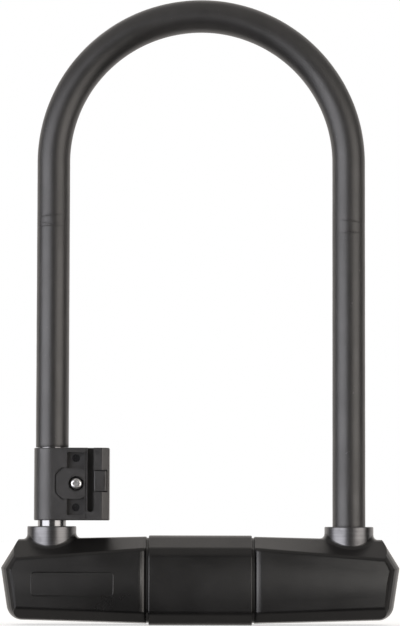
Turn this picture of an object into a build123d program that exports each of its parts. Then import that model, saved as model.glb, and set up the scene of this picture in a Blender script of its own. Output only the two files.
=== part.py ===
from build123d import *
import math
import os

# D-lock in millimetres. X runs along the crossbar, -Y is the front, +Z points up the shackle.
# The origin is the middle of the crossbar's underside. The shackle is home and both bolts are back.

# Shackle
rod_diameter = 14.0
coat_thickness = 1.15
coat_bond_gap = 0.05
leg_spacing = 147.0
crown_centre_z = 229.5
foot_rise = 0.5
foot_chamfer = 1.2
coat_end_gap = 0.3
notch_room = 0.4

# Steel tube and collars
tube_wall = 3.0
collar_wall = 4.8
collar_stand = 4.4
collar_inset = 0.5
collar_floor = 2.0
collar_mouth_depth = 5.0
collar_rim_round = 0.5
end_plug_thickness = 3.0
end_plug_chamfer = 0.5
seal_height = 2.2
seal_depth = 1.1
seal_drop = 7.4

# Deadbolts and their guides
bolt_travel = 6.0
bolt_height = 7.6
bolt_width = 13.0
bolt_inner_x = 1.5
bolt_lift = 0.4
bolt_pin_cover = 2.0
bolt_nose_chamfer = 0.6
guide_length = 14.0
guide_gap = 1.4

# Scroll cam
cam_drop = 2.3
cam_thickness = 4.0
cam_rim = 0.6
cam_room = 0.6
cam_pin_diameter = 3.0
cam_pin_start = 4.0
cam_slot_depth = 2.1
cam_slot_overrun = 7.0
key_turn_degrees = 90.0
dog_width = 3.0
dog_height = 1.2

# Crossbar covers
cover_wall = 6.0
cap_side_wall = 3.2
sleeve_side_wall = 3.8
sleeve_length = 50.8
seam_width = 1.2
end_overhang = 24.6
cap_top_drop = 0.6
cap_end_drop = 2.0
tip_drop = 15.9
tip_shoulder = 8.5
heel_z = 10.5
heel_setback = 2.7
heel_radius = 8.0
cap_inner_rise = 0.3
cap_bottom_rise = 2.6
shoulder_inner_drop = 6.4
shoulder_outer_drop = 11.4
sleeve_shoulder_drop = 1.0
section_crown_half = 5.5
section_sole_half = 12.5
section_lower_rise = 5.8
section_middle_bow = 2.2
section_end_bow = 0.9
bow_radius = 85.0
bevel_width = 6.0
bevel_start_degrees = 38.0
bevel_facets = 6
bottom_bevel_share = 0.55
bevel_corner_radius = 1.5
tip_round = 0.9
flare_radius = 2.2
roll_length = 3.8
roll_depth = 1.5
roll_steps = 4
tongue_length = 2.0
tongue_side_inset = 2.0
tongue_top_inset = 1.0
seam_round = 0.5

# Plain nameplate panel on the left cap
panel_length = 40.7
panel_height = 12.1
panel_depth = 0.8
panel_line = 0.6
panel_radius = 2.0
panel_drop = 1.8
panel_offset = 10.9

# Lock core
housing_radius = 11.0
housing_bottom_z = 2.4
plug_radius = 7.0
plug_wall = 1.4
plug_face = 2.0
plug_top = 2.2
plug_inset = 0.2
key_slot_width = 2.2
key_slot_length = 8.0
plug_rim_chamfer = 0.3
disc_notch_depth = 0.7
disc_count = 7
disc_code_step = 20.0
spacer_thickness = 0.4
sidebar_width = 1.4
core_pin_diameter = 2.4
core_pin_drop = 9.0
core_pin_bite = 2.4

# Dust cover under the keyhole
cover_half_length = 8.2
cover_half_width = 8.6
cover_lip = 1.5
cover_base = 1.1
cover_face = 0.8
cover_travel = 12.4
cover_rib_pitch = 2.4
cover_rib_width = 1.0
cover_rib_depth = 0.4

# Keyhole plate that carries the dust cover
keyhole_plate_end = 1.8
keyhole_plate_width = 20.0
keyhole_plate_radius = 3.0
keyhole_plate_sink = 0.1

# Cap screws in the back face
cap_screw_shank = 3.0
cap_screw_head = 6.0
cap_screw_head_height = 2.0
cap_screw_sink = 0.4
cap_screw_reach = 8.0
cap_screw_hex = 2.5
cap_screw_hex_depth = 1.2

# Carrying bracket on the left leg, with heights above its own foot and places from the leg's axis
bracket_gap = 2.9
bracket_height = 35.8
bracket_reach = 28.4
bracket_wall = 1.0
liner_thickness = 0.7
liner_inset = 0.6
recess_left = 7.7
recess_right = 16.2
recess_bottom_gap = 2.7
recess_top_gap = 2.3
recess_depth = 3.5
recess_round = 0.6
plate_left = 2.4
plate_height = 15.0
plate_corner = 3.4
plate_corner_round = 1.2
plate_thickness = 0.9
clamp_bolt_x = 12.2
clamp_bolt_rise = 18.1
clamp_head_diameter = 6.5
clamp_head_height = 2.6
clamp_head_sink = 0.2
clamp_head_round = 2.0
clamp_cross_arm = 1.9
clamp_cross_half_width = 0.5
clamp_cross_depth = 1.4
clamp_shank_diameter = 4.0
clamp_ring_gap = 0.6
boss_radius = 7.6
nut_flats = 7.0
nut_thickness = 3.2
nut_sink = 0.3
small_screw_head = 3.8
small_screw_head_height = 1.2
small_screw_sink = 0.3
small_screw_shank = 2.2
small_screw_upper_rise = 30.7
small_screw_lower_rise = 6.4
small_screw_reach = 5.0
small_cross_arm = 1.3
small_cross_half_width = 0.25
small_cross_depth = 0.6
groove_x = 17.0
groove_width = 0.5
groove_depth = 0.5
slot_left = 17.8
slot_right = 20.9
slot_bottom_rise = 4.1
slot_depth = 6.0
rail_ridge_x = 25.1
rail_edge_setback = 2.5
rail_round = 1.0
bracket_rim_round = 0.5

# Catch tab in the bracket's rail
tab_left = 21.1
tab_right = 27.2
tab_bottom_rise = 14.5
tab_top_rise = 24.3
tab_thickness = 1.8
tab_recess = 0.3
tab_pad_size = 3.4
tab_pad_height = 0.6
tab_room = 2.2
tab_tip_gap = 0.5
tab_side_gap = 0.6
tab_tip_round = 0.3

# Clearances
leg_clearance = 0.3
coat_clearance = 0.45
press_clearance = 0.05
slide_clearance = 0.3
turn_clearance = 0.15
plate_gap = 0.6

# Derived: cam, tube and bar
cam_radius = cam_pin_start + bolt_travel + cam_pin_diameter / 2 + slide_clearance + cam_rim
tube_bore = cam_radius + cam_room
tube_radius = tube_bore + tube_wall
bar_height = 2 * (tube_radius + cover_wall)
cap_depth = 2 * (tube_radius + cap_side_wall)
sleeve_depth = 2 * (tube_radius + sleeve_side_wall)
tube_axis_z = bar_height / 2

# Derived: legs and collars
leg_x = leg_spacing / 2
rod_radius = rod_diameter / 2
coat_radius = rod_radius + coat_thickness
bore_radius = rod_radius + leg_clearance
mouth_radius = coat_radius + coat_clearance
collar_radius = bore_radius + collar_wall
collar_top_z = bar_height + collar_stand
collar_bottom_z = tube_axis_z - tube_radius + collar_inset
foot_z = collar_bottom_z + collar_floor + foot_rise
mouth_floor_z = collar_top_z - collar_mouth_depth
right_coat_end_z = mouth_floor_z + 2 * leg_clearance
seal_top_z = collar_top_z - seal_drop
notch_depth = bolt_travel - slide_clearance
tube_half = leg_x + collar_radius + leg_clearance + end_plug_thickness

# Derived: covers
tip_x = leg_x + end_overhang
tip_z = bar_height - tip_drop
sleeve_half = sleeve_length / 2
cap_inner_x = sleeve_half + seam_width
screw_seat_y = cap_depth / 2 - cap_screw_sink - cap_screw_head_height

# Derived: core, cam and bolts
cam_bottom_z = tube_axis_z - cam_drop
cam_top_z = cam_bottom_z + cam_thickness
cam_pitch = bolt_travel / math.radians(key_turn_degrees)
dog_length = 2 * plug_radius - 1
bolt_bottom_z = cam_top_z + bolt_lift
bolt_top_z = bolt_bottom_z + bolt_height
bolt_nose_x = leg_x - bore_radius - slide_clearance
guide_outer_x = leg_x - collar_radius - guide_gap
guide_centre_x = guide_outer_x - guide_length / 2
plug_bottom_z = housing_bottom_z + plug_inset
housing_top_z = cam_bottom_z - slide_clearance
stack_bottom_z = plug_bottom_z + plug_face
stack_top_z = cam_bottom_z - plug_top
disc_pitch = (stack_top_z - stack_bottom_z - spacer_thickness) / disc_count
core_pin_z = tube_axis_z - core_pin_drop
core_pin_inner_y = housing_radius - core_pin_bite
core_pin_outer_y = math.sqrt(tube_radius**2 - (core_pin_drop + core_pin_diameter / 2) ** 2)
cover_top_z = housing_bottom_z - slide_clearance
cover_bottom_z = cover_top_z - cover_base - cover_face

# Derived: bracket
liner_inner = rod_radius + turn_clearance
liner_outer = liner_inner + liner_thickness
bracket_radius = liner_outer + press_clearance + bracket_wall
bracket_bottom_z = collar_top_z + bracket_gap
bracket_top_z = bracket_bottom_z + bracket_height
left_coat_end_z = bracket_top_z + coat_end_gap
clamp_bolt_z = bracket_bottom_z + clamp_bolt_rise
clamp_seat_y = -bracket_radius + clamp_head_sink + clamp_head_height
nut_front_y = bracket_radius - nut_sink - nut_thickness
recess_floor_y = -bracket_radius + recess_depth
tab_bottom_z = bracket_bottom_z + tab_bottom_rise
tab_top_z = bracket_bottom_z + tab_top_rise


def upright(radius, bottom, top, x=0.0, y=0.0):
    """A cylinder along Z between two heights."""
    return Pos(x, y, (bottom + top) / 2) * Cylinder(radius, top - bottom)


def along_x(radius, left, right, z):
    """A cylinder along X between two places."""
    return Pos((left + right) / 2, 0, z) * Rot(0, 90, 0) * Cylinder(radius, right - left)


def along_y(radius, front, back, x, z):
    """A cylinder along Y between two places."""
    return Pos(x, (front + back) / 2, z) * Rot(90, 0, 0) * Cylinder(radius, back - front)


def block(low, high):
    """A box between two opposite corners."""
    size = [b - a for a, b in zip(low, high)]
    middle = [(a + b) / 2 for a, b in zip(low, high)]
    return Pos(*middle) * Box(*size)


def other_side(shape):
    """The same piece on the other end of the crossbar."""
    return mirror(shape, about=Plane.YZ)


def write(shape, node):
    """Each node is one STEP file named after the piece."""
    export_step(shape, f"parts/{node}.step")


# Shackle


def bent_rod(radius, left_bottom, right_bottom):
    """Half a ring for the crown and a straight leg under each end of it."""
    profile = Plane.XY * Pos(leg_x, 0) * Circle(radius)
    crown = Pos(0, 0, crown_centre_z) * revolve(profile, Axis.Y, -180)
    left_leg = upright(radius, left_bottom, crown_centre_z, -leg_x)
    right_leg = upright(radius, right_bottom, crown_centre_z, leg_x)
    return crown + left_leg + right_leg


def bolt_notch():
    """The square notch in a leg that the deadbolt's nose enters."""
    inner = leg_x - rod_radius
    low = (inner - rod_radius, -rod_radius - 1, bolt_bottom_z - notch_room)
    high = (inner + notch_depth, rod_radius + 1, bolt_top_z + notch_room)
    return block(low, high)


def make_shackle_bar():
    """One bent hardened rod, chamfered at both feet and notched on the inside of each leg."""
    rod = bent_rod(rod_radius, foot_z, foot_z)
    feet = rod.edges().group_by(Axis.Z)[0]
    rod = chamfer(feet, foot_chamfer)
    return rod - bolt_notch() - other_side(bolt_notch())


def make_shackle_coating():
    """The vinyl skin, cut short above the bracket on the left and run into the collar on the right."""
    skin = bent_rod(coat_radius, left_coat_end_z, right_coat_end_z)
    inner = rod_radius + coat_bond_gap
    return skin - bent_rod(inner, left_coat_end_z - 1, right_coat_end_z - 1)


# Crossbar covers


def bar_section(x, top_z, upper_z, bottom_z, half_depth, bow, radii, insets=(0.0, 0.0)):
    """Ten-cornered cross-section: crowned top, sloping shoulders, bowed faces, flat sole."""
    lower_z = bottom_z + section_lower_rise
    middle_z = (upper_z + lower_z) / 2
    half = [
        (section_crown_half, top_z),
        (half_depth - bow, upper_z),
        (half_depth, middle_z),
        (half_depth - bow, lower_z),
        (section_sole_half, bottom_z),
    ]
    centre_z = (top_z + bottom_z) / 2
    tall = (top_z - bottom_z) / 2
    shrink_y = (half_depth - insets[0]) / half_depth
    shrink_z = (tall - insets[1]) / tall
    front = [(-y * shrink_y, centre_z + (z - centre_z) * shrink_z) for y, z in half]
    back = [(-y, z) for y, z in reversed(front)]
    outline = FilletPolyline(*(front + back), radius=radii + radii[::-1], close=True)
    return Plane.YZ.offset(x) * make_face(outline)


cap_radii = [5.0, 2.5, bow_radius, 3.0, 4.5]
sleeve_radii = [8.0, 7.0, bow_radius, 5.0, 5.0]


def sleeve_outline(x, insets=(0.0, 0.0)):
    """The sleeve's cross-section at one place, drawn in by insets."""
    upper_z = bar_height - shoulder_inner_drop - sleeve_shoulder_drop
    half = sleeve_depth / 2
    return bar_section(x, bar_height, upper_z, 0.0, half, section_middle_bow, sleeve_radii, insets)


def make_centre_sleeve():
    """The middle cover over the tube, with sockets for the caps' tongues and a pocket underneath."""
    sleeve = loft([sleeve_outline(-sleeve_half), sleeve_outline(sleeve_half)], ruled=True)
    ends = sleeve.faces().filter_by(Axis.X).edges()
    sleeve = fillet(ends, seam_round)
    sleeve -= along_x(tube_radius + press_clearance, -sleeve_half - 1, sleeve_half + 1, tube_axis_z)
    socket_x = sleeve_half - tongue_length - slide_clearance
    insets = (tongue_side_inset, tongue_top_inset)
    socket = loft([sleeve_outline(socket_x, insets), sleeve_outline(sleeve_half + 1, insets)], ruled=True)
    sleeve -= socket + other_side(socket)
    sleeve -= upright(housing_radius + press_clearance, -1, tube_axis_z)
    return sleeve - keyhole_plate_blank(press_clearance, -1)


def keyhole_plate_blank(clearance, bottom):
    """The keyhole plate's outline up to the core housing, grown by a clearance."""
    left = -cover_half_length - slide_clearance - keyhole_plate_end
    right = cover_half_length + cover_travel + slide_clearance + keyhole_plate_end
    size = (right - left + 2 * clearance, keyhole_plate_width + 2 * clearance)
    face = Pos((left + right) / 2, 0, bottom) * RectangleRounded(*size, keyhole_plate_radius)
    return extrude(face, housing_bottom_z - bottom)


def make_keyhole_plate():
    """The plate let into the sleeve's underside, with the dust cover's track through it."""
    return keyhole_plate_blank(0, keyhole_plate_sink) - cover_track()


def cover_track():
    """A T-shaped track under the keyhole that the dust cover slides in."""
    left = -cover_half_length - slide_clearance
    right = cover_half_length + cover_travel + slide_clearance
    wide = cover_half_width + slide_clearance
    narrow = wide - cover_lip
    lip_z = cover_bottom_z + cover_face - slide_clearance
    groove = block((left, -wide, lip_z), (right, wide, housing_bottom_z))
    mouth = block((left, -narrow, -1), (right, narrow, lip_z))
    return groove + mouth


def make_dust_cover():
    """The keyhole shutter: a wide hidden flange and a narrower ribbed face."""
    narrow = cover_half_width - cover_lip - slide_clearance
    face_z = cover_bottom_z + cover_face
    flange = block(
        (-cover_half_length, -cover_half_width, face_z),
        (cover_half_length, cover_half_width, cover_top_z),
    )
    face = block((-cover_half_length, -narrow, cover_bottom_z), (cover_half_length, narrow, face_z))
    cover = flange + face
    half_rib = cover_rib_width / 2
    for step in range(-2, 3):
        x = step * cover_rib_pitch
        low = (x - half_rib, -narrow + cover_lip, cover_bottom_z - 1)
        high = (x + half_rib, narrow - cover_lip, cover_bottom_z + cover_rib_depth)
        cover -= block(low, high)
    return cover


def seam_roll(x):
    """How far the cap's faces roll in towards the seam, a quarter of an ellipse."""
    share = max(0.0, 1 - (x - cap_inner_x) / roll_length)
    return roll_depth * (1 - math.sqrt(1 - share**2))


def cap_outline(x):
    """The cap's cross-section, whose shoulder, top and bow fall away towards the end."""
    run = (x - cap_inner_x) / (tip_x - tip_shoulder - cap_inner_x)
    top = bar_height - cap_top_drop - run * (cap_end_drop - cap_top_drop)
    upper = bar_height - shoulder_inner_drop - run * (shoulder_outer_drop - shoulder_inner_drop)
    bottom = cap_inner_rise + run * (cap_bottom_rise - cap_inner_rise)
    bow = section_middle_bow + run * (section_end_bow - section_middle_bow)
    return bar_section(x, top, upper, bottom, cap_depth / 2 - seam_roll(x), bow, cap_radii)


def moved_line(start, end, inset):
    """A line moved to its left by an inset, as a point and a direction."""
    along = (Vector(*end) - Vector(*start)).normalized()
    return Vector(*start) + Vector(-along.Y, along.X) * inset, along


def crossing(first, second):
    """Where two lines meet."""
    (p, d), (q, e) = first, second
    step = ((q.X - p.X) * e.Y - (q.Y - p.Y) * e.X) / (d.X * e.Y - d.Y * e.X)
    return p.X + d.X * step, p.Y + d.Y * step


def end_silhouette(inset, y):
    """The cap seen from the front, drawn in at its end and sole: sloped shoulder, tip and round heel."""
    shoulder = (tip_x - tip_shoulder, bar_height - cap_end_drop)
    slope = heel_setback / (tip_z - heel_z)
    heel = (tip_x - slope * (tip_z - cap_bottom_rise), cap_bottom_rise)
    sole_line = moved_line((0, 0), heel, inset * bottom_bevel_share)
    heel_line = moved_line(heel, (tip_x, tip_z), inset)
    slope_line = moved_line((tip_x, tip_z), shoulder, inset)
    start_line = (Vector(0, 0), Vector(0, 1))
    top_line = (Vector(0, bar_height + tip_shoulder), Vector(1, 0))
    lines = [start_line, sole_line, heel_line, slope_line, top_line, start_line]
    corners = [crossing(*pair) for pair in zip(lines, lines[1:])]
    radii = [0, max(heel_radius - inset, bevel_corner_radius), tip_round, 0, 0]
    face = make_face(FilletPolyline(*corners, radius=radii, close=True))
    return Plane.XZ.offset(-y) * face


def cap_end_shape():
    """A body whose rounded bevel runs round the cap's end and sole, front and back."""
    start = math.radians(bevel_start_degrees)
    radius = bevel_width / (1 - math.sin(start))
    axis = cap_depth / 2 - radius * math.cos(start)
    slices = []
    for step in range(bevel_facets + 1):
        angle = start + (math.pi / 2 - start) * step / bevel_facets
        slices.append((radius * (1 - math.sin(angle)), axis + radius * math.cos(angle)))
    front = [end_silhouette(inset, -depth) for inset, depth in slices]
    back = [end_silhouette(inset, depth) for inset, depth in reversed(slices)]
    return loft(front + back, ruled=True)


def cap_blank():
    """The right cap's outside before it is bored."""
    places = [cap_inner_x + roll_length * step / roll_steps for step in range(roll_steps + 1)]
    blank = loft([cap_outline(x) for x in places + [tip_x + 1]], ruled=True)
    inner_edges = blank.faces().sort_by(Axis.X)[0].edges()
    blank = fillet(inner_edges, seam_round)
    return collar_flare(blank & cap_end_shape())


def collar_flare(blank):
    """A fillet that rises from the cap to the collar all the way round."""
    radius = collar_radius + press_clearance
    joined = blank + upright(radius, tube_axis_z, collar_top_z, leg_x)
    root = []
    for edge in joined.edges():
        middle = edge.center()
        reach = math.hypot(middle.X - leg_x, middle.Y)
        if reach < radius + 1 and tube_axis_z + 1 < middle.Z < collar_top_z - 1:
            root.append(edge)
    return joined.fillet(flare_radius, root)


def cap_tongue():
    """The thin-walled spigot that centres the cap in the sleeve's socket."""
    start = sleeve_half - tongue_length
    half_gap = slide_clearance / 2
    insets = (tongue_side_inset + half_gap, tongue_top_inset + half_gap)
    return loft([sleeve_outline(start, insets), sleeve_outline(cap_inner_x + 1, insets)], ruled=True)


def make_right_end_cap():
    """The right cover, bored for the tube, the collar and its screw."""
    cap = cap_blank() + cap_tongue()
    cap -= along_x(tube_radius + press_clearance, 0, tube_half + slide_clearance, tube_axis_z)
    cap -= upright(collar_radius + press_clearance, collar_bottom_z - 0.1, collar_top_z, leg_x)
    shank = cap_screw_shank / 2 + turn_clearance
    head = cap_screw_head / 2 + slide_clearance
    cap -= along_y(shank, 0, cap_depth, guide_centre_x, tube_axis_z)
    return cap - along_y(head, screw_seat_y, cap_depth, guide_centre_x, tube_axis_z)


def make_left_end_cap(right_cap):
    """The mirrored cap with a blank nameplate outlined by a fine groove in its front."""
    cap = other_side(right_cap)
    inside = (panel_length - 2 * panel_line, panel_height - 2 * panel_line, panel_radius - panel_line)
    outline = RectangleRounded(panel_length, panel_height, panel_radius) - RectangleRounded(*inside)
    place = Plane.XZ.offset(cap_depth / 2 - panel_depth)
    panel = extrude(place * Pos(-leg_x + panel_offset, tube_axis_z - panel_drop) * outline, 2)
    return cap - panel


# Steel tube and collars


def make_crossbar_tube():
    """The hardened tube with its collar, core, pin and screw holes."""
    tube = along_x(tube_radius, -tube_half, tube_half, tube_axis_z)
    tube -= along_x(tube_bore, -tube_half - 1, tube_half + 1, tube_axis_z)
    for side in (-1, 1):
        tube -= upright(collar_radius + press_clearance, 0, collar_top_z, side * leg_x)
        tube -= along_y(cap_screw_shank / 2 + press_clearance, 0, tube_radius + 1,
                        side * guide_centre_x, tube_axis_z)
    tube -= upright(housing_radius + press_clearance, 0, tube_axis_z)
    pin_hole = core_pin_diameter / 2 + press_clearance
    return tube - along_y(pin_hole, -tube_radius, tube_radius, 0, core_pin_z)


def make_right_collar():
    """The steel socket for a leg, with a wider mouth, a seal groove and a window for the bolt."""
    collar = upright(collar_radius, collar_bottom_z, collar_top_z, leg_x)
    rim = collar.edges().group_by(Axis.Z)[-1]
    collar = fillet(rim, collar_rim_round)
    collar -= upright(bore_radius, collar_bottom_z + collar_floor, collar_top_z + 1, leg_x)
    collar -= upright(mouth_radius, mouth_floor_z, collar_top_z + 1, leg_x)
    groove = bore_radius + seal_depth
    collar -= upright(groove, seal_top_z - seal_height, seal_top_z, leg_x)
    low = (leg_x - collar_radius - 1, -bolt_width / 2 - slide_clearance, bolt_bottom_z - slide_clearance)
    high = (leg_x, bolt_width / 2 + slide_clearance, bolt_top_z + slide_clearance)
    return collar - block(low, high)


def make_right_seal():
    """The rubber wiper ring in the collar's groove."""
    bottom = seal_top_z - seal_height + press_clearance
    top = seal_top_z - press_clearance
    ring = upright(bore_radius + seal_depth - press_clearance, bottom, top, leg_x)
    return ring - upright(rod_radius + turn_clearance, bottom - 1, top + 1, leg_x)


def make_right_end_plug():
    """The disc that closes the tube's end."""
    plug = along_x(tube_bore - press_clearance, tube_half - end_plug_thickness, tube_half, tube_axis_z)
    rim = plug.edges().sort_by(Axis.X)[-1]
    return chamfer(rim, end_plug_chamfer)


# Deadbolts


def make_right_deadbolt():
    """A flat steel bolt from the cam to the collar, with a chamfered nose."""
    low = (bolt_inner_x, -bolt_width / 2, bolt_bottom_z)
    high = (bolt_nose_x, bolt_width / 2, bolt_top_z)
    bolt = block(low, high)
    nose = bolt.faces().sort_by(Axis.X)[-1].edges()
    bolt = chamfer(nose, bolt_nose_chamfer)
    hole = cam_pin_diameter / 2 + press_clearance
    return bolt - upright(hole, bolt_bottom_z - 1, bolt_top_z - bolt_pin_cover, cam_pin_start)


def make_right_bolt_pin():
    """The round pin under the bolt that runs in the cam's slot."""
    bottom = cam_top_z - cam_slot_depth + bolt_lift
    return upright(cam_pin_diameter / 2, bottom, bolt_top_z - bolt_pin_cover, cam_pin_start)


def make_right_bolt_guide():
    """A round block in the tube with a square window that keeps the bolt straight."""
    inner_x = guide_outer_x - guide_length
    guide = along_x(tube_bore - press_clearance, inner_x, guide_outer_x, tube_axis_z)
    low = (inner_x - 1, -bolt_width / 2 - slide_clearance, bolt_bottom_z - slide_clearance)
    high = (guide_outer_x + 1, bolt_width / 2 + slide_clearance, bolt_top_z + slide_clearance)
    guide -= block(low, high)
    pilot = cap_screw_shank / 2 + press_clearance
    return guide - along_y(pilot, cap_screw_reach - 0.5, tube_radius, guide_centre_x, tube_axis_z)


def make_cap_screw():
    """A socket-head screw through the cap and tube into the bolt guide."""
    head_top = screw_seat_y + cap_screw_head_height
    screw = along_y(cap_screw_shank / 2, cap_screw_reach, screw_seat_y, guide_centre_x, tube_axis_z)
    screw += along_y(cap_screw_head / 2, screw_seat_y, head_top, guide_centre_x, tube_axis_z)
    socket = extrude(Plane.XZ * RegularPolygon(cap_screw_hex / 2, 6), cap_screw_hex_depth)
    return screw - Pos(guide_centre_x, head_top + 0.01, tube_axis_z) * socket


# Lock core


def spiral_point(turn, shift):
    """A point on the cam slot's centre line, or beside it by a shift along the slot's normal."""
    radius = cam_pin_start - cam_pitch * turn
    centre = Vector(radius * math.cos(turn), radius * math.sin(turn))
    tangent = Vector(
        -cam_pitch * math.cos(turn) - radius * math.sin(turn),
        -cam_pitch * math.sin(turn) + radius * math.cos(turn),
    ).normalized()
    return centre + Vector(-tangent.Y, tangent.X) * shift, tangent


def cam_slot():
    """An Archimedean slot, which turns a quarter turn of the key into the bolt's travel."""
    overrun = math.radians(cam_slot_overrun)
    first, last = -math.radians(key_turn_degrees) - overrun, overrun
    half = cam_pin_diameter / 2 + slide_clearance
    turns = [first + (last - first) * step / 10 for step in range(11)]
    inner = Spline(*[spiral_point(turn, half)[0] for turn in turns])
    outer = Spline(*[spiral_point(turn, -half)[0] for turn in turns])
    start, start_tangent = spiral_point(first, 0)
    end, end_tangent = spiral_point(last, 0)
    tail = ThreePointArc(inner @ 0, start - start_tangent * half, outer @ 0)
    head = ThreePointArc(inner @ 1, end + end_tangent * half, outer @ 1)
    face = make_face(Curve() + [inner, outer, tail, head])
    return Pos(0, 0, cam_top_z - cam_slot_depth) * extrude(face, cam_slot_depth + 1)


def dog_bar(clearance, bottom, top):
    """The driving bar between plug and cam, set across the quadrants that have no slot."""
    bar = Box(dog_length + 2 * clearance, dog_width + 2 * clearance, top - bottom)
    return Pos(0, 0, (top + bottom) / 2) * Rot(0, 0, 45) * bar


def make_scroll_cam():
    """A disc with two spiral slots above and a driving slot below."""
    cam = upright(cam_radius, cam_bottom_z, cam_top_z)
    slot = cam_slot()
    cam -= slot + Rot(0, 0, 180) * slot
    drive_top = cam_bottom_z + dog_height + press_clearance
    return cam - dog_bar(press_clearance, cam_bottom_z - 1, drive_top)


def key_slot(bottom, top):
    """The flat slot that the key passes."""
    half_width = key_slot_width / 2
    half_length = key_slot_length / 2
    return block((-half_width, -half_length, bottom), (half_width, half_length, top))


def make_lock_plug():
    """The turning barrel: keyhole face, disc chamber, sidebar slot, head and driving bar."""
    plug = upright(plug_radius, plug_bottom_z, cam_bottom_z)
    plug -= upright(plug_radius - plug_wall, stack_bottom_z, stack_top_z)
    plug -= key_slot(plug_bottom_z - 1, stack_bottom_z + 1)
    half = sidebar_width / 2 + press_clearance
    plug -= block((0, -half, stack_bottom_z), (plug_radius + 1, half, stack_top_z))
    rim = plug.edges().group_by(Axis.Z)[0].sort_by(SortBy.LENGTH)[-1]
    plug = chamfer(rim, plug_rim_chamfer)
    return plug + dog_bar(0, cam_bottom_z, cam_bottom_z + dog_height)


def ring_slice(bottom, top, notch_angle):
    """A flat ring of the stack, pierced by the key slot and notched at its rim."""
    radius = plug_radius - plug_wall - turn_clearance
    disc = upright(radius, bottom, top) - key_slot(bottom - 1, top + 1)
    half = sidebar_width / 2
    notch = block((radius - disc_notch_depth, -half, bottom - 1), (radius + 1, half, top + 1))
    return disc - Rot(0, 0, notch_angle) * notch


def make_lock_discs():
    """The coded discs, each with its rim notch turned a little further."""
    discs = []
    for index in range(disc_count):
        bottom = stack_bottom_z + spacer_thickness + index * disc_pitch
        top = bottom + disc_pitch - spacer_thickness
        angle = disc_code_step * (index * 3 % disc_count)
        discs.append(ring_slice(bottom, top, angle))
    return Compound(children=[piece for disc in discs for piece in disc.solids()])


def make_disc_spacers():
    """Thin rings between the discs."""
    spacers = []
    for index in range(disc_count + 1):
        bottom = stack_bottom_z + index * disc_pitch
        spacers.append(ring_slice(bottom, bottom + spacer_thickness, 0.0))
    return Compound(children=[piece for spacer in spacers for piece in spacer.solids()])


def make_sidebar():
    """The bar that the discs release into the plug."""
    half = sidebar_width / 2
    inner = plug_radius - plug_wall + press_clearance
    outer = plug_radius - turn_clearance
    low = (inner, -half, stack_bottom_z + turn_clearance)
    return block(low, (outer, half, stack_top_z - turn_clearance))


def make_core_housing():
    """The fixed shell around the plug, cross-drilled for its two pins."""
    housing = upright(housing_radius, housing_bottom_z, housing_top_z)
    housing -= upright(plug_radius + turn_clearance, housing_bottom_z - 1, housing_top_z + 1)
    pin = core_pin_diameter / 2 + press_clearance
    inner = core_pin_inner_y - press_clearance
    housing -= along_y(pin, -housing_radius - 1, -inner, 0, core_pin_z)
    return housing - along_y(pin, inner, housing_radius + 1, 0, core_pin_z)


def make_core_pins():
    """Two spring pins that hold the housing in the tube, front and back."""
    outer = core_pin_outer_y - press_clearance
    front = along_y(core_pin_diameter / 2, -outer, -core_pin_inner_y, 0, core_pin_z)
    return Compound(children=[front.solid(), mirror(front, about=Plane.XZ).solid()])


# Carrying bracket


def bracket_profile():
    """Seen from above: a round clamp blended into a flat block with a ridged rail at its end."""
    left = -leg_x
    far = left + bracket_reach
    edge = bracket_radius - rail_edge_setback
    ridge = left + rail_ridge_x
    clamp = Pos(left, 0) * Circle(bracket_radius)
    corners = [
        (left, -bracket_radius),
        (ridge, -bracket_radius),
        (far, -edge),
        (far, edge),
        (ridge, bracket_radius),
        (left, bracket_radius),
    ]
    radii = [0, rail_round, rail_round, rail_round, rail_round, 0]
    return clamp + make_face(FilletPolyline(*corners, radius=radii, close=True))


def bracket_blank(front, back):
    """The bracket's outside between two depths, bored for the liner."""
    whole = Pos(0, 0, bracket_bottom_z) * extrude(bracket_profile(), bracket_height)
    rims = whole.faces().filter_by(Axis.Z).edges()
    whole = fillet(rims, bracket_rim_round)
    slab = block((-leg_x - 50, front, 0), (0, back, 2 * bracket_top_z))
    bore = upright(liner_outer + press_clearance, 0, 2 * bracket_top_z, -leg_x)
    return (whole & slab) - bore


def plate_face(grow):
    """The clamp plate's outline: chamfered towards the leg, round about the bolt."""
    left = -leg_x + plate_left - grow
    bolt = -leg_x + clamp_bolt_x
    half = plate_height / 2 + grow
    low, high = clamp_bolt_z - half, clamp_bolt_z + half
    corner = plate_corner
    corners = [
        (left, low + corner),
        (left + corner, low),
        (bolt, low),
        (bolt, high),
        (left + corner, high),
        (left, high - corner),
    ]
    soft = plate_corner_round
    radii = [soft, soft, 0, 0, soft, soft]
    outline = make_face(FilletPolyline(*corners, radius=radii, close=True))
    disc = Pos(bolt, clamp_bolt_z) * Circle(boss_radius + grow)
    strip_right = -leg_x + recess_right
    strip = Pos(strip_right - 50, clamp_bolt_z) * Rectangle(100, 4 * boss_radius)
    return outline + (disc & strip)


def front_pocket(face, depth):
    """A pocket cut straight into the bracket's front."""
    return extrude(Plane.XZ.offset(bracket_radius - depth) * face, depth + 1)


def recess_cut():
    """The tall recess beside the clamp, with a round boss left standing for the plate."""
    left, right = -leg_x + recess_left, -leg_x + recess_right
    low, high = bracket_bottom_z + recess_bottom_gap, bracket_top_z - recess_top_gap
    middle = Pos((left + right) / 2, (low + high) / 2)
    face = middle * RectangleRounded(right - left, high - low, recess_round)
    boss = Pos(-leg_x + clamp_bolt_x, clamp_bolt_z) * Circle(boss_radius)
    return front_pocket(face - boss, recess_depth)


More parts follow.
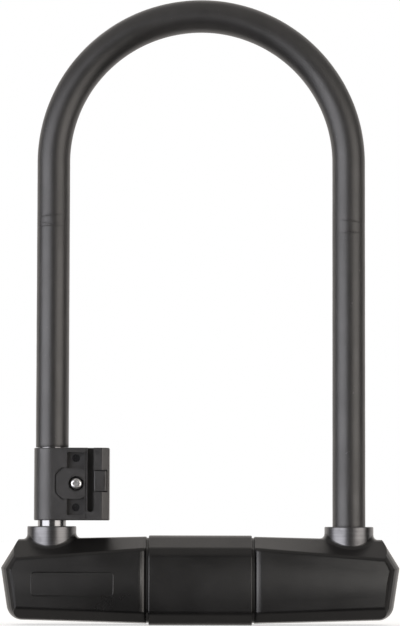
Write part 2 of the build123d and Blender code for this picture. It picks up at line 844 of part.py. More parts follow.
def rail_slot():
    """The deep blind slot behind the rail, open at the top and round at the bottom."""
    left, right = -leg_x + slot_left, -leg_x + slot_right
    half = (right - left) / 2
    top = bracket_top_z + 5
    foot_centre_z = bracket_bottom_z + slot_bottom_rise + half
    foot = Pos(left + half, foot_centre_z) * Circle(half)
    run = Pos(left + half, (foot_centre_z + top) / 2)
    face = foot + run * Rectangle(2 * half, top - foot_centre_z)
    return front_pocket(face, slot_depth)


def tab_window():
    """The window in the rail that the catch tab springs in."""
    low = (-leg_x + tab_left - tab_tip_gap, -bracket_radius - 1, tab_bottom_z - tab_side_gap)
    back = -bracket_radius + tab_recess + tab_thickness + tab_room
    high = (-leg_x + tab_right + slide_clearance, back, tab_top_z + tab_side_gap)
    return block(low, high)


def small_screw_places():
    """The two small screws, above and below the clamp bolt."""
    x = -leg_x + (recess_left + recess_right) / 2
    rises = (small_screw_upper_rise, small_screw_lower_rise)
    return [(x, bracket_bottom_z + rise) for rise in rises]


def make_front_shell():
    """The bracket's front half with every visible recess."""
    shell = bracket_blank(-2 * bracket_radius, 0)
    shell -= recess_cut()
    shell -= front_pocket(plate_face(plate_gap), plate_thickness + press_clearance)
    shell -= rail_slot()
    shell -= tab_window()
    groove_low = (-leg_x + groove_x - groove_width / 2, -bracket_radius - 1, bracket_bottom_z + 1)
    groove_high = (-leg_x + groove_x + groove_width / 2, -bracket_radius + groove_depth,
                   bracket_top_z - 1)
    shell -= block(groove_low, groove_high)
    bolt_x = -leg_x + clamp_bolt_x
    ring = clamp_head_diameter / 2 + clamp_ring_gap
    shell -= along_y(ring, -bracket_radius - 1, clamp_seat_y, bolt_x, clamp_bolt_z)
    shank = clamp_shank_diameter / 2 + turn_clearance
    shell -= along_y(shank, -bracket_radius - 1, 1, bolt_x, clamp_bolt_z)
    seat = recess_floor_y + small_screw_sink + small_screw_head_height
    for x, z in small_screw_places():
        shell -= along_y(small_screw_head / 2 + turn_clearance, -bracket_radius, seat, x, z)
        shell -= along_y(small_screw_shank / 2 + press_clearance, -bracket_radius, 1, x, z)
    return shell


def make_rear_shell():
    """The bracket's rear half with the nut's pocket and the small screws' pilot holes."""
    shell = bracket_blank(0, 2 * bracket_radius)
    bolt_x = -leg_x + clamp_bolt_x
    shank = clamp_shank_diameter / 2 + turn_clearance
    shell -= along_y(shank, -1, bracket_radius + 1, bolt_x, clamp_bolt_z)
    pocket = RegularPolygon(nut_flats / 2 + press_clearance, 6, major_radius=False)
    place = Pos(bolt_x, nut_front_y, clamp_bolt_z)
    shell -= place * extrude(Plane.XZ * pocket, -bracket_radius)
    for x, z in small_screw_places():
        shell -= along_y(small_screw_shank / 2 + press_clearance, -1, small_screw_reach + 0.4, x, z)
    return shell


def make_clamp_nut():
    """A hexagonal nut in the rear shell."""
    body = extrude(Plane.XZ * RegularPolygon(nut_flats / 2, 6, major_radius=False), -nut_thickness)
    nut = Pos(-leg_x + clamp_bolt_x, nut_front_y, clamp_bolt_z) * body
    hole = clamp_shank_diameter / 2 + press_clearance
    return nut - along_y(hole, 0, bracket_radius + 5, -leg_x + clamp_bolt_x, clamp_bolt_z)


def make_clamp_bolt():
    """A domed cross-head bolt from the front shell to the nut."""
    x = -leg_x + clamp_bolt_x
    head = along_y(clamp_head_diameter / 2, clamp_seat_y - clamp_head_height, clamp_seat_y,
                   x, clamp_bolt_z)
    rim = head.edges().sort_by(Axis.Y)[0]
    head = fillet(rim, clamp_head_round)
    face_y = clamp_seat_y - clamp_head_height
    arms = (clamp_cross_arm, clamp_cross_half_width)
    for wide, tall in (arms, arms[::-1]):
        low = (x - wide, face_y - 1, clamp_bolt_z - tall)
        head -= block(low, (x + wide, face_y + clamp_cross_depth, clamp_bolt_z + tall))
    tail = nut_front_y + nut_thickness
    return head + along_y(clamp_shank_diameter / 2, clamp_seat_y, tail, x, clamp_bolt_z)


def make_clamp_plate():
    """The thin plate under the bolt's head, let into the front shell."""
    back = bracket_radius - plate_thickness
    plate = extrude(Plane.XZ.offset(back) * plate_face(0), plate_thickness)
    ring = clamp_head_diameter / 2 + clamp_ring_gap
    return plate - along_y(ring, -bracket_radius - 1, 0, -leg_x + clamp_bolt_x, clamp_bolt_z)


def make_bracket_screws():
    """Two small countersunk black screws that close the shells."""
    screws = []
    top = recess_floor_y + small_screw_sink
    seat = top + small_screw_head_height
    arms = (small_cross_arm, small_cross_half_width)
    for x, z in small_screw_places():
        head = along_y(small_screw_head / 2, top, seat, x, z)
        for wide, tall in (arms, arms[::-1]):
            low = (x - wide, top - 1, z - tall)
            head -= block(low, (x + wide, top + small_cross_depth, z + tall))
        screw = head + along_y(small_screw_shank / 2, seat, small_screw_reach, x, z)
        screws.append(screw.solid())
    return Compound(children=screws)


def make_bracket_liner():
    """The thin rubber sleeve that grips the leg."""
    bottom, top = bracket_bottom_z + liner_inset, bracket_top_z - liner_inset
    return upright(liner_outer, bottom, top, -leg_x) - upright(liner_inner, 0, 2 * top, -leg_x)


def make_catch_tab():
    """The sprung tab in the rail: a small raised pad on its face, and its hinge in its round right end."""
    front = -bracket_radius + tab_recess
    hinge_x = -leg_x + tab_right - tab_thickness / 2
    hinge_y = front + tab_thickness / 2
    tab = block((-leg_x + tab_left, front, tab_bottom_z), (hinge_x, front + tab_thickness, tab_top_z))
    tip_edges = tab.edges().filter_by(Axis.Z).group_by(Axis.X)[0]
    tab = fillet(tip_edges, tab_tip_round)
    tab += upright(tab_thickness / 2, tab_bottom_z, tab_top_z, hinge_x, hinge_y)
    middle_x = -leg_x + (tab_left + tab_right) / 2
    middle_z = (tab_bottom_z + tab_top_z) / 2
    half = tab_pad_size / 2
    pad_low = (middle_x - half, front - tab_pad_height, middle_z - half)
    return tab + block(pad_low, (middle_x + half, front + 0.5, middle_z + half))


def main():
    """Builds every piece and writes its file."""
    os.makedirs("parts", exist_ok=True)
    write(make_shackle_bar(), "shackle_bar")
    write(make_shackle_coating(), "shackle_coating")
    write(make_crossbar_tube(), "crossbar_tube")
    write(make_centre_sleeve(), "centre_sleeve")
    write(make_dust_cover(), "dust_cover")
    write(make_keyhole_plate(), "keyhole_plate")
    right_cap = make_right_end_cap()
    write(right_cap, "right_end_cap")
    write(make_left_end_cap(right_cap), "left_end_cap")
    pairs = {
        "collar": make_right_collar,
        "collar_seal": make_right_seal,
        "end_plug": make_right_end_plug,
        "deadbolt": make_right_deadbolt,
        "bolt_pin": make_right_bolt_pin,
        "bolt_guide": make_right_bolt_guide,
    }
    for name, make in pairs.items():
        piece = make()
        write(piece, f"right_{name}")
        write(other_side(piece), f"left_{name}")
    screw = make_cap_screw()
    write(Compound(children=[screw.solid(), other_side(screw).solid()]), "end_cap_screws")
    write(make_core_housing(), "core_housing")
    write(make_core_pins(), "core_retaining_pins")
    write(make_lock_plug(), "lock_plug")
    write(make_lock_discs(), "lock_discs")
    write(make_disc_spacers(), "disc_spacers")
    write(make_sidebar(), "sidebar")
    write(make_scroll_cam(), "scroll_cam")
    write(make_front_shell(), "bracket_front_shell")
    write(make_rear_shell(), "bracket_rear_shell")
    write(make_bracket_liner(), "bracket_liner")
    write(make_clamp_plate(), "clamp_plate")
    write(make_clamp_bolt(), "clamp_bolt")
    write(make_clamp_nut(), "clamp_nut")
    write(make_bracket_screws(), "bracket_screws")
    write(make_catch_tab(), "catch_tab")


main()
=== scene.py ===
import math

import bpy
import numpy as np
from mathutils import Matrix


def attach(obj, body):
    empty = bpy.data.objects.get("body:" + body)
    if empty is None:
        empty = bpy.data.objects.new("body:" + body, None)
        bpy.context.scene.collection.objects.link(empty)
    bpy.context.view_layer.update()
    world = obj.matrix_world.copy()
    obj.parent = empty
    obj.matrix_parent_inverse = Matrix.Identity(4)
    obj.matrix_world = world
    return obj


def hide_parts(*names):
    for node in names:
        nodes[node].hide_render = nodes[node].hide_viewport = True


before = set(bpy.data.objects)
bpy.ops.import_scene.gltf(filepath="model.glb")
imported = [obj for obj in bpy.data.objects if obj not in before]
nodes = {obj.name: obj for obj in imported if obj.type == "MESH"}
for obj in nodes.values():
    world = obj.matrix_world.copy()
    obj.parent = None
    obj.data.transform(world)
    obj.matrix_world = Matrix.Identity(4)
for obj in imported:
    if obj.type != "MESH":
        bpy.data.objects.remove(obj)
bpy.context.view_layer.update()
print("frame loaded with", len(nodes), "nodes")


# Small helpers for shader nodes


def addNode(tree, kind, **values):
    node = tree.nodes.new(kind)
    for name, value in values.items():
        setattr(node, name, value)
    return node


def wire(tree, source, target):
    tree.links.new(source, target)


def calc(tree, operation, *inputs):
    # one Math node; a number goes on its socket and anything else is wired in
    node = addNode(tree, "ShaderNodeMath", operation=operation)
    for socket, value in zip(node.inputs, inputs):
        if isinstance(value, (int, float)):
            socket.default_value = value
        else:
            wire(tree, value, socket)
    return node.outputs[0]


def ease(tree, value, low, high, start=0.0, end=1.0):
    # smooth step from low to high, mapped on start to end
    node = addNode(tree, "ShaderNodeMapRange", interpolation_type="SMOOTHSTEP")
    wire(tree, value, node.inputs["Value"])
    for name, number in (("From Min", low), ("From Max", high), ("To Min", start), ("To Max", end)):
        node.inputs[name].default_value = number
    return node.outputs["Result"]


def grain(tree, place, scale, detail=3.0, rough=0.55, stretch=(1, 1, 1), distort=0.0):
    # fractal noise on Object coordinates; scale is in features per metre
    mapping = addNode(tree, "ShaderNodeMapping")
    mapping.inputs["Scale"].default_value = stretch
    wire(tree, place, mapping.inputs["Vector"])
    noise = addNode(tree, "ShaderNodeTexNoise")
    wire(tree, mapping.outputs[0], noise.inputs["Vector"])
    noise.inputs["Scale"].default_value = scale
    noise.inputs["Detail"].default_value = detail
    noise.inputs["Roughness"].default_value = rough
    noise.inputs["Distortion"].default_value = distort
    return noise.outputs["Fac"]


def ramp(tree, factor, stops):
    # colour ramp through (place, colour) stops
    node = addNode(tree, "ShaderNodeValToRGB")
    while len(node.color_ramp.elements) < len(stops):
        node.color_ramp.elements.new(0.5)
    for element, (place, colour) in zip(node.color_ramp.elements, stops):
        element.position = place
        element.color = (*colour, 1)
    wire(tree, factor, node.inputs["Fac"])
    return node.outputs["Color"]


def blendColour(tree, factor, first, second):
    node = addNode(tree, "ShaderNodeMix", data_type="RGBA")
    wire(tree, factor, node.inputs[0])
    wire(tree, first, node.inputs[6])
    wire(tree, second, node.inputs[7])
    return node.outputs[2]


def bump(tree, height, depth, distance, normal=None):
    node = addNode(tree, "ShaderNodeBump")
    node.inputs["Strength"].default_value = depth
    node.inputs["Distance"].default_value = distance
    wire(tree, height, node.inputs["Height"])
    if normal is not None:
        wire(tree, normal, node.inputs["Normal"])
    return node.outputs["Normal"]


def newMaterial(name):
    material = bpy.data.materials.new(name)
    material.use_nodes = True
    tree = material.node_tree
    shader = tree.nodes["Principled BSDF"]
    place = addNode(tree, "ShaderNodeTexCoord").outputs["Object"]
    return material, tree, shader, place


def dressing(name, look):
    # moulded or painted surface: mottled colour, patchy roughness, fine grain over soft waves, worn specks
    material, tree, shader, place = newMaterial(name)
    mottle = grain(tree, place, look["mottleScale"], 4.0, 0.6)
    colour = ramp(tree, mottle, [(0.3, look["dark"]), (0.72, look["light"])])
    specks = ease(tree, grain(tree, place, look["speckScale"], 2.0, 0.7), look["speckFrom"], 0.8)
    worn = ramp(tree, mottle, [(0.3, look["worn"]), (0.8, [c * 1.3 for c in look["worn"]])])
    wire(tree, blendColour(tree, specks, colour, worn), shader.inputs["Base Color"])
    patches = grain(tree, place, look["patchScale"], 3.0, 0.6)
    low, high = look["roughness"]
    wire(tree, ease(tree, patches, 0.3, 0.7, low, high), shader.inputs["Roughness"])
    waves = bump(tree, grain(tree, place, look["waveScale"], 1.0), look["waveDepth"], 0.001)
    fine = bump(tree, grain(tree, place, look["grainScale"], 2.0, 0.6), look["grainDepth"], 0.0002, waves)
    wire(tree, fine, shader.inputs["Normal"])
    shader.inputs["Specular IOR Level"].default_value = look["gloss"]
    return material


metalWaveScale = 120.0  # slow waves per metre, the same on every metal


def metal(name, look):
    # turned, drawn or rolled metal: tool lines along one direction, tarnish patches and slow waves
    material, tree, shader, place = newMaterial(name)
    lines = grain(tree, place, look["lineScale"], 3.0, 0.7, look["stretch"])
    tarnish = grain(tree, place, look["patchScale"], 4.0, 0.6)
    bright = ramp(tree, lines, [(0.25, look["dark"]), (0.75, look["light"])])
    dull = ramp(tree, lines, [(0.25, [c * 0.7 for c in look["dark"]]), (0.75, look["dark"])])
    wire(tree, blendColour(tree, ease(tree, tarnish, 0.5, 0.75), bright, dull), shader.inputs["Base Color"])
    low, high = look["roughness"]
    wire(tree, ease(tree, tarnish, 0.3, 0.7, low, high), shader.inputs["Roughness"])
    waves = bump(tree, grain(tree, place, metalWaveScale, 1.0), look["waveDepth"], 0.001)
    scratches = bump(tree, lines, look["lineDepth"], 0.0001, waves)
    wire(tree, scratches, shader.inputs["Normal"])
    shader.inputs["Metallic"].default_value = 1.0
    shader.inputs["Specular IOR Level"].default_value = 0.5
    return material


# Finishes

vinyl = {
    "dark": (0.028, 0.0275, 0.027), "light": (0.043, 0.042, 0.041), "worn": (0.085, 0.083, 0.082),
    "mottleScale": 60.0, "speckScale": 420.0, "speckFrom": 0.70, "patchScale": 35.0,
    "roughness": (0.36, 0.44), "waveScale": 70.0, "waveDepth": 0.10,
    "grainScale": 2600.0, "grainDepth": 0.22, "gloss": 0.80,
}
coverPlastic = {
    "dark": (0.0065, 0.0064, 0.0064), "light": (0.0115, 0.011, 0.0108), "worn": (0.030, 0.029, 0.028),
    "mottleScale": 80.0, "speckScale": 500.0, "speckFrom": 0.75, "patchScale": 28.0,
    "roughness": (0.27, 0.35), "waveScale": 55.0, "waveDepth": 0.10,
    "grainScale": 3200.0, "grainDepth": 0.14, "gloss": 0.60,
}
bracketPlastic = {
    "dark": (0.034, 0.034, 0.034), "light": (0.050, 0.049, 0.049), "worn": (0.075, 0.074, 0.073),
    "mottleScale": 120.0, "speckScale": 700.0, "speckFrom": 0.70, "patchScale": 60.0,
    "roughness": (0.33, 0.42), "waveScale": 90.0, "waveDepth": 0.08,
    "grainScale": 2800.0, "grainDepth": 0.35, "gloss": 0.80,
}
rubberLook = {
    "dark": (0.010, 0.010, 0.010), "light": (0.020, 0.020, 0.019), "worn": (0.04, 0.04, 0.038),
    "mottleScale": 200.0, "speckScale": 900.0, "speckFrom": 0.68, "patchScale": 90.0,
    "roughness": (0.68, 0.82), "waveScale": 150.0, "waveDepth": 0.10,
    "grainScale": 3500.0, "grainDepth": 0.5, "gloss": 0.35,
}
collarSteel = {
    "dark": (0.13, 0.13, 0.134), "light": (0.19, 0.19, 0.194), "lineScale": 60.0, "stretch": (1, 1, 60),
    "patchScale": 90.0, "roughness": (0.30, 0.38), "waveDepth": 0.05, "lineDepth": 0.35,
}
hardenedSteel = {
    "dark": (0.24, 0.24, 0.244), "light": (0.32, 0.32, 0.325), "lineScale": 80.0, "stretch": (8, 8, 1),
    "patchScale": 110.0, "roughness": (0.17, 0.26), "waveDepth": 0.04, "lineDepth": 0.30,
}
innerSteel = {
    "dark": (0.36, 0.355, 0.35), "light": (0.50, 0.49, 0.48), "lineScale": 90.0, "stretch": (1, 20, 20),
    "patchScale": 70.0, "roughness": (0.28, 0.42), "waveDepth": 0.06, "lineDepth": 0.40,
}
blackOxide = {
    "dark": (0.030, 0.030, 0.032), "light": (0.060, 0.060, 0.062), "lineScale": 300.0, "stretch": (1, 6, 1),
    "patchScale": 200.0, "roughness": (0.34, 0.48), "waveDepth": 0.05, "lineDepth": 0.30,
}
brassLook = {
    "dark": (0.50, 0.34, 0.12), "light": (0.72, 0.52, 0.22), "lineScale": 150.0, "stretch": (1, 1, 30),
    "patchScale": 150.0, "roughness": (0.22, 0.36), "waveDepth": 0.05, "lineDepth": 0.35,
}
zincLook = {
    "dark": (0.74, 0.74, 0.74), "light": (0.95, 0.95, 0.94), "lineScale": 400.0, "stretch": (1, 1, 1),
    "patchScale": 500.0, "roughness": (0.26, 0.40), "waveDepth": 0.10, "lineDepth": 0.50,
}

finishes = {
    "vinyl": dressing("vinylSkin", vinyl),
    "cover_plastic": dressing("coverPlastic", coverPlastic),
    "bracket_plastic": dressing("bracketPlastic", bracketPlastic),
    "rubber": dressing("blackRubber", rubberLook),
    "collar_steel": metal("turnedCollarSteel", collarSteel),
    "hardened_steel": metal("drawnShackleSteel", hardenedSteel),
    "inner_steel": metal("millSteel", innerSteel),
    "black_oxide": metal("blackOxideSteel", blackOxide),
    "brass": metal("turnedBrass", brassLook),
    "zinc": metal("zincPlate", zincLook),
}
for node in nodes.values():
    for materialSlot in node.material_slots:
        slotName = materialSlot.material.name.split(".")[0]
        materialSlot.material = finishes[slotName]
print("finishes made:", len(finishes))


# Surfaces worked out with numpy; in these dictionaries sizes are in millimetres and angles in radians


def torusMesh(name, points):
    # a closed grid (rows, columns, 3) in millimetres: both ways round join up, so the surface has no edge;
    # the directions that rows and columns run in settle which way the faces point
    rows, columns = points.shape[:2]
    i, j = np.meshgrid(np.arange(rows), np.arange(columns), indexing="ij")
    down, across = (i + 1) % rows, (j + 1) % columns
    quads = np.stack([i * columns + j, i * columns + across, down * columns + across, down * columns + j], -1)
    mesh = bpy.data.meshes.new(name)
    mesh.from_pydata((points.reshape(-1, 3) / 1000).tolist(), [], quads.reshape(-1, 4).tolist())
    mesh.polygons.foreach_set("use_smooth", np.ones(len(mesh.polygons), bool))
    item = bpy.data.objects.new(name, mesh)
    bpy.context.scene.collection.objects.link(item)
    return item


shackleSkin = {
    "legX": 73.5, "crownZ": 229.5, "leftEndZ": 87.4, "rightEndZ": 44.0,
    "outer": 8.15, "inner": 7.06, "lipRound": 0.25, "around": 72, "step": 1.8, "insideRings": 160,
    "unevenness": 0.035, "longWave": 41.0, "shortWave": 13.0, "longTwist": 1.7, "shortTwist": 2.3,
    "evenShare": 0.5, "longShare": 0.3, "shortShare": 0.2, "lipRings": 5,
    "creaseDepth": 0.16, "creaseWidth": 0.45, "creaseTilt": 1.1, "creaseFine": 0.12,
    "leftCreases": (196.4, 198.9, 203.2), "rightCreases": (195.2, 199.6),
    "creaseFacing": 1.35, "creaseSpread": 0.75, "creaseFade": 4.0, "creaseTurn": 2.1, "creaseReach": 4.0,
}


def skinPath(along, skin):
    # centre line: straight up the left leg, half a circle over the crown, straight down the right leg;
    # gives each place's position and the direction pointing away from the bay
    leftLeg = skin["crownZ"] - skin["leftEndZ"]
    arc = math.pi * skin["legX"]
    turn = np.clip((along - leftLeg) / skin["legX"], 0.0, math.pi)
    below = np.where(along < leftLeg, leftLeg - along, np.maximum(along - leftLeg - arc, 0.0))
    x, z = -skin["legX"] * np.cos(turn), skin["crownZ"] + skin["legX"] * np.sin(turn) - below
    zero = np.zeros_like(x)
    return np.stack([x, zero, z], -1), np.stack([-np.cos(turn), zero, np.sin(turn)], -1)


def skinPlaces(skin, length):
    # even steps along the path, with close ones where the creases are
    leftCreases = np.array(skin["leftCreases"]) - skin["leftEndZ"]
    rightCreases = length - (np.array(skin["rightCreases"]) - skin["rightEndZ"])
    creases = np.concatenate([leftCreases, rightCreases])
    reach = np.arange(-skin["creaseReach"], skin["creaseReach"], skin["creaseFine"])
    near = (creases[:, None] + reach[None, :]).ravel()
    first, last = skin["lipRound"], length - skin["lipRound"]
    return np.unique(np.concatenate([np.arange(first, last, skin["step"]), near, [last]])), creases


def makeShackleSkin(skin):
    # r(along, angle) = outer - unevenness * (slow and quick sine waves) - a narrow dip at each tilted crease,
    # faded out away from the side the crease faces; a round lip joins outside and inside at both ends
    length = 2 * skin["crownZ"] - skin["leftEndZ"] - skin["rightEndZ"] + math.pi * skin["legX"]
    outside, creases = skinPlaces(skin, length)
    angle = np.linspace(0, 2 * math.pi, skin["around"], endpoint=False)
    longTwist = skin["longTwist"] * np.cos(angle)[None, :]
    shortTwist = skin["shortTwist"] * np.sin(angle)[None, :]
    slow = np.sin(2 * math.pi * outside[:, None] / skin["longWave"] + longTwist)
    quick = np.sin(2 * math.pi * outside[:, None] / skin["shortWave"] + shortTwist)
    dip = skin["unevenness"] * (skin["evenShare"] + skin["longShare"] * slow + skin["shortShare"] * quick)
    turned = np.sin((angle - skin["creaseFacing"]) / 2) / skin["creaseSpread"]
    facing = np.exp(-(turned ** 2) * skin["creaseFade"])
    for count, crease in enumerate(creases):
        lean = skin["creaseTilt"] * np.sin(angle + skin["creaseTurn"] * count)
        away = (outside[:, None] - crease - lean[None, :]) / skin["creaseWidth"]
        dip = dip + skin["creaseDepth"] * facing[None, :] * np.exp(-away**2)
    skinRadius = skin["outer"] - dip
    lip = np.linspace(0, math.pi / 2, skin["lipRings"])[1:-1]
    cut = skin["lipRound"]
    headAlong = np.concatenate([[0.0], cut * (1 - np.sin(lip))])
    headRadius = np.concatenate([[skin["outer"] - cut], skin["outer"] - cut + cut * np.cos(lip)])
    insideAlong = np.linspace(length, 0, skin["insideRings"])
    along = np.concatenate([headAlong, outside, length - headAlong[::-1], insideAlong])
    flat = np.ones((1, len(angle)))
    radius = np.concatenate([headRadius[:, None] * flat, skinRadius, headRadius[::-1, None] * flat,
                             np.full((len(insideAlong), len(angle)), skin["inner"])])
    centre, outward = skinPath(along, skin)
    front = np.array([0.0, -1.0, 0.0])
    spoke = outward[:, None, :] * np.cos(angle)[None, :, None] + front * np.sin(angle)[None, :, None]
    item = torusMesh("shackleSkin", centre[:, None, :] + radius[..., None] * spoke)
    item.data.materials.append(finishes["vinyl"])
    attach(item, "shackle")
    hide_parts("shackle_coating")
    return item


nameplateBead = {
    "centreX": -62.6, "centreZ": 20.2, "halfLong": 20.05, "halfHigh": 5.75, "corner": 1.7,
    "beadRadius": 0.30, "sunk": 0.27, "around": 14, "stepsPerSide": 24, "stepsPerCorner": 8,
    "faceBow": 85.0, "faceMiddleZ": 21.1, "faceY": -18.72, "faceSlope": -0.0095,
}


def makeNameplateBead(plate):
    # a round bead carried along a rounded rectangle, pressed on the cap's face:
    # face y = faceY - faceSlope * (x - centre) + (z - middle)^2 / (2 * bow)
    straightX, straightZ = plate["halfLong"] - plate["corner"], plate["halfHigh"] - plate["corner"]
    quarter = np.linspace(0, math.pi / 2, plate["stepsPerCorner"])
    side = np.linspace(0, 1, plate["stepsPerSide"])[1:-1]
    x, z, turn = [], [], []
    for corner, (signX, signZ) in enumerate(((1, 1), (-1, 1), (-1, -1), (1, -1))):
        angle = quarter + corner * math.pi / 2
        x.append(signX * straightX + plate["corner"] * np.cos(angle))
        z.append(signZ * straightZ + plate["corner"] * np.sin(angle))
        turn.append(angle)
        nextX, nextZ = ((-1, 1), (-1, -1), (1, -1), (1, 1))[corner]
        end = (corner + 1) * math.pi / 2
        x.append(x[-1][-1] + side * (nextX - signX) * straightX)
        z.append(z[-1][-1] + side * (nextZ - signZ) * straightZ)
        turn.append(np.full_like(side, end))
    x, z, turn = np.concatenate(x), np.concatenate(z), np.concatenate(turn)
    worldX, worldZ = plate["centreX"] + x, plate["centreZ"] + z
    bow = (worldZ - plate["faceMiddleZ"]) ** 2 / (2 * plate["faceBow"])
    y = plate["faceY"] - plate["faceSlope"] * x + bow + plate["sunk"]
    centre = np.stack([worldX, y, worldZ], -1)
    outward = np.stack([np.cos(turn), np.zeros_like(turn), np.sin(turn)], -1)
    angle = np.linspace(0, 2 * math.pi, plate["around"], endpoint=False)
    front = np.array([0.0, -1.0, 0.0])
    spoke = outward[:, None, :] * np.cos(angle)[None, :, None] + front * np.sin(angle)[None, :, None]
    item = torusMesh("nameplateBead", centre[:, None, :] + plate["beadRadius"] * spoke)
    item.data.materials.append(finishes["cover_plastic"])
    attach(item, "crossbar")
    return item


makeShackleSkin(shackleSkin)
makeNameplateBead(nameplateBead)
print("shackle skin and nameplate bead made")


# Studio

studio = {
    "floorRadius": 6.0, "floorTone": (0.80, 0.82), "floorGlow": 0.72,
    "floorGrain": 3.0, "floorRough": 0.9, "floorShine": 0.1,
    "leftBox": (-82.0, -20.0), "rightBox": (27.0, 74.0), "boxSoft": 5.0,
    "boxLow": (-30.0, -10.0), "boxHigh": (8.0, 30.0),
    "leftColour": (0.99, 0.98, 1.03), "rightColour": (1.05, 0.985, 0.93), "rearColour": (1.0, 0.95, 0.91),
    "leftPower": 3.3, "rightPower": 2.35, "topPower": 0.42, "topFrom": (18.0, 45.0),
    "rearFrom": (107.0, 117.0), "rearPower": 1.0, "darkLevel": 0.02,
    "soleGlow": 0.35, "soleFrom": (-72.0, -50.0),
    "bandPower": 0.15, "bandSide": (-45.0, 45.0), "bandLow": (-22.0, -4.0), "bandHigh": (4.0, 22.0),
}
panels = {
    "leftPanel": {"place": (-0.23, -0.50, 0.035), "size": 0.12, "power": 0.26, "colour": (1.0, 0.98, 0.97)},
    "rightPanel": {"place": (0.17, -0.50, 0.035), "size": 0.12, "power": 0.30, "colour": (1.0, 0.97, 0.92)},
}


def floorMesh(name, radius, count=96):
    # flat disc on the floor: rings at a few radii along v, angle round u
    angle = np.linspace(0, 2 * math.pi, count, endpoint=False)
    radii = radius * np.array([0.0002, 0.05, 0.3, 1.0])
    x = np.outer(radii, np.cos(angle)).ravel()
    y = np.outer(radii, np.sin(angle)).ravel()
    points = np.stack([x, y, np.zeros_like(x)], 1)
    ring, i = np.meshgrid(np.arange(len(radii) - 1), np.arange(count), indexing="ij")
    j = (i + 1) % count
    inner, outer = ring * count, (ring + 1) * count
    quads = np.stack([inner + i, outer + i, outer + j, inner + j], -1)
    mesh = bpy.data.meshes.new(name)
    mesh.from_pydata(points.tolist(), [], quads.reshape(-1, 4).tolist())
    item = bpy.data.objects.new(name, mesh)
    bpy.context.scene.collection.objects.link(item)
    return item


def paleFloor():
    material, tree, shader, place = newMaterial("paleFloor")
    low, high = studio["floorTone"]
    colour = ramp(tree, grain(tree, place, studio["floorGrain"]), [(0.3, [low] * 3), (0.7, [high] * 3)])
    wire(tree, colour, shader.inputs["Base Color"])
    wire(tree, colour, shader.inputs["Emission Color"])
    shader.inputs["Emission Strength"].default_value = studio["floorGlow"]
    shader.inputs["Roughness"].default_value = studio["floorRough"]
    shader.inputs["Specular IOR Level"].default_value = studio["floorShine"]
    floor = floorMesh("floor", studio["floorRadius"])
    floor.visible_glossy = False
    floor.visible_diffuse = False
    floor.data.materials.append(material)


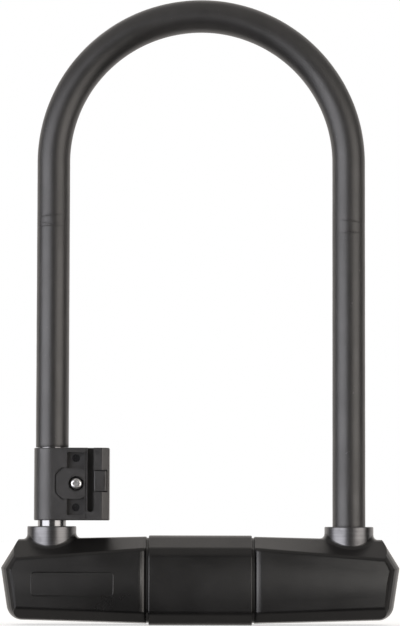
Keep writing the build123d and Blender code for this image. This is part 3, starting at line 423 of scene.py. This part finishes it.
def studioWorld():
    # the room as light by direction: two soft boxes and a weak band in front, a pale room above and behind,
    # a glow from below; the camera sees white
    world = bpy.data.worlds.new("studio")
    bpy.context.scene.world = world
    world.use_nodes = True
    tree = world.node_tree
    background = tree.nodes["Background"]
    direction = addNode(tree, "ShaderNodeTexCoord").outputs["Generated"]
    split = addNode(tree, "ShaderNodeSeparateXYZ")
    wire(tree, direction, split.inputs[0])
    x, y, z = split.outputs
    azimuth = calc(tree, "DEGREES", calc(tree, "ARCTAN2", x, calc(tree, "MULTIPLY", y, -1.0)))
    elevation = calc(tree, "DEGREES", calc(tree, "ARCSINE", z))
    soft = studio["boxSoft"]
    tall = calc(tree, "MULTIPLY", ease(tree, elevation, *studio["boxLow"]),
                ease(tree, elevation, *studio["boxHigh"], 1.0, 0.0))

    def box(low, high, power):
        rise = ease(tree, azimuth, low - soft, low + soft)
        fall = ease(tree, azimuth, high - soft, high + soft, 1.0, 0.0)
        flat = calc(tree, "MULTIPLY", calc(tree, "MULTIPLY", rise, fall), tall)
        return calc(tree, "MULTIPLY", flat, power)

    def tint(level, colour):
        node = addNode(tree, "ShaderNodeVectorMath", operation="SCALE")
        node.inputs[0].default_value = colour
        wire(tree, level, node.inputs["Scale"])
        return node.outputs[0]

    def total(first, second):
        node = addNode(tree, "ShaderNodeVectorMath", operation="ADD")
        wire(tree, first, node.inputs[0])
        wire(tree, second, node.inputs[1])
        return node.outputs[0]

    left = tint(box(*studio["leftBox"], studio["leftPower"]), studio["leftColour"])
    right = tint(box(*studio["rightBox"], studio["rightPower"]), studio["rightColour"])
    fromFront = calc(tree, "DEGREES", calc(tree, "ARCCOSINE", calc(tree, "MULTIPLY", y, -1.0)))
    rear = ease(tree, fromFront, *studio["rearFrom"], studio["darkLevel"], studio["rearPower"])
    top = ease(tree, elevation, *studio["topFrom"], 0.0, studio["topPower"])
    sole = ease(tree, elevation, *studio["soleFrom"], studio["soleGlow"], 0.0)
    bandLeft, bandRight = studio["bandSide"]
    across = calc(tree, "MULTIPLY", ease(tree, azimuth, bandLeft - soft, bandLeft),
                  ease(tree, azimuth, bandRight, bandRight + soft, 1.0, 0.0))
    upright = calc(tree, "MULTIPLY", ease(tree, elevation, *studio["bandLow"]),
                   ease(tree, elevation, *studio["bandHigh"], studio["bandPower"], 0.0))
    band = calc(tree, "MULTIPLY", across, upright)
    edges = calc(tree, "MAXIMUM", calc(tree, "MAXIMUM", rear, top), calc(tree, "MAXIMUM", sole, band))
    room = total(total(left, right), tint(edges, studio["rearColour"]))
    seen = addNode(tree, "ShaderNodeLightPath").outputs["Is Camera Ray"]
    mix = addNode(tree, "ShaderNodeMix", data_type="RGBA")
    wire(tree, seen, mix.inputs[0])
    wire(tree, room, mix.inputs[6])
    mix.inputs[7].default_value = (1, 1, 1, 1)
    wire(tree, mix.outputs[2], background.inputs["Color"])


view = {
    "sensor": 36.0, "lens": 180.84, "clipEnd": 50.0, "place": (-0.0002, -1.56, 0.050),  # metres
    "lookUp": 3.826, "roll": -0.14,  # degrees
}


def studioCamera():
    # level with the crossbar, far back, aimed up at the middle of the shackle
    data = bpy.data.cameras.new("camera")
    data.sensor_width = view["sensor"]
    data.lens = view["lens"]
    data.clip_end = view["clipEnd"]
    camera = bpy.data.objects.new("camera", data)
    bpy.context.scene.collection.objects.link(camera)
    camera.location = view["place"]
    camera.rotation_euler = (math.radians(90 + view["lookUp"]), math.radians(view["roll"]), 0)
    bpy.context.scene.camera = camera


def lightPanels():
    # two small square panels in front that only shine on the covers, falling off along the crossbar
    covers = bpy.data.collections.new("covers")
    for node in nodes.values():
        if node.material_slots[0].material == finishes["cover_plastic"]:
            covers.objects.link(node)
    for name, panel in panels.items():
        data = bpy.data.lights.new(name, "AREA")
        data.size = panel["size"]
        data.energy = panel["power"]
        data.color = panel["colour"]
        light = bpy.data.objects.new(name, data)
        bpy.context.scene.collection.objects.link(light)
        x, y, z = panel["place"]
        light.location = (x, y, z)
        light.visible_diffuse = False
        light.light_linking.receiver_collection = covers
        light.rotation_euler = (math.radians(90), 0, math.atan2(x, -y))


paleFloor()
studioWorld()
lightPanels()
studioCamera()
bpy.context.scene.view_settings.view_transform = "Standard"
print("studio ready")
